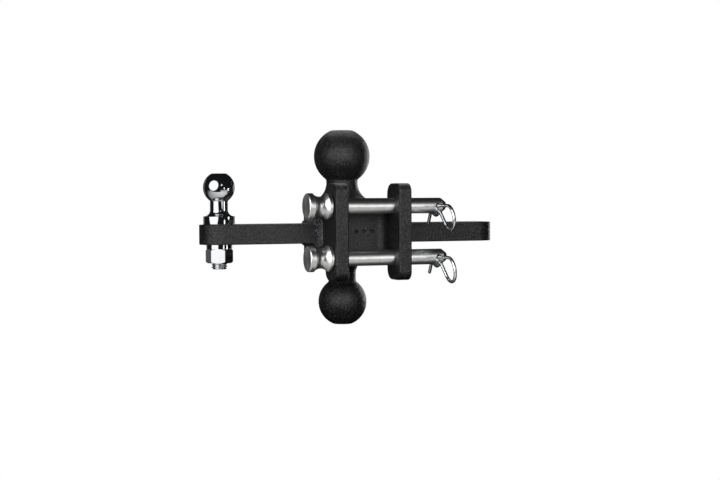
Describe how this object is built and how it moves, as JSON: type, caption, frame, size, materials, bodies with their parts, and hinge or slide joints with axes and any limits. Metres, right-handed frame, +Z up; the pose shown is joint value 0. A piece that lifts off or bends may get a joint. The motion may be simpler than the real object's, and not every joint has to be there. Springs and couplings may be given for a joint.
{
  "type": "dual tow ball hitch",
  "caption": "Forged dual tow ball with a clevis, two clevis pins held by spring clips, welded sway-control tabs and a small sway-control ball.",
  "frame": {"origin": "centre of the clevis web face, midway between the two pins, where the drop hitch's shank seats", "axes": "+X towards the tab with the empty hole, across the vehicle; +Y from the shank into the body, away from the vehicle; +Z up"},
  "size_m": [0.3194, 0.1636, 0.2036],
  "materials": {
    "black_powder_coat": "fine-textured satin black powder coat over forged steel",
    "chrome_plate": "bright chrome plating",
    "turned_steel": "turned and lightly polished stainless steel",
    "zinc_wire": "bright zinc-plated spring wire"
  },
  "bodies": {
    "hitch": {"ball_mount_body": "black_powder_coat", "left_sway_tab": "black_powder_coat", "right_sway_tab": "black_powder_coat", "left_tab_weld": "black_powder_coat", "right_tab_weld": "black_powder_coat", "sway_ball": "chrome_plate", "lock_washer": "chrome_plate", "hex_nut": "chrome_plate"},
    "upper_pin": {"upper_pin": "turned_steel"},
    "upper_clip": {"upper_pin_clip": "zinc_wire"},
    "lower_pin": {"lower_pin": "turned_steel"},
    "lower_clip": {"lower_pin_clip": "zinc_wire"}
  },
  "joints": [
    {"name": "upper_pin_slide", "type": "slide", "parent": "hitch", "child": "upper_pin", "axis": [-1, 0, 0], "range_m": [0, 0.0298]},
    {"name": "upper_clip_pull", "type": "slide", "parent": "upper_pin", "child": "upper_clip", "axis": [0, -1, 0], "range_m": [0, 0.06], "deforming": ["upper_pin_clip"]},
    {"name": "lower_pin_slide", "type": "slide", "parent": "hitch", "child": "lower_pin", "axis": [-1, 0, 0], "range_m": [0, 0.0298]},
    {"name": "lower_clip_pull", "type": "slide", "parent": "lower_pin", "child": "lower_clip", "axis": [0, -1, 0], "range_m": [0, 0.06], "deforming": ["lower_pin_clip"]}
  ]
}
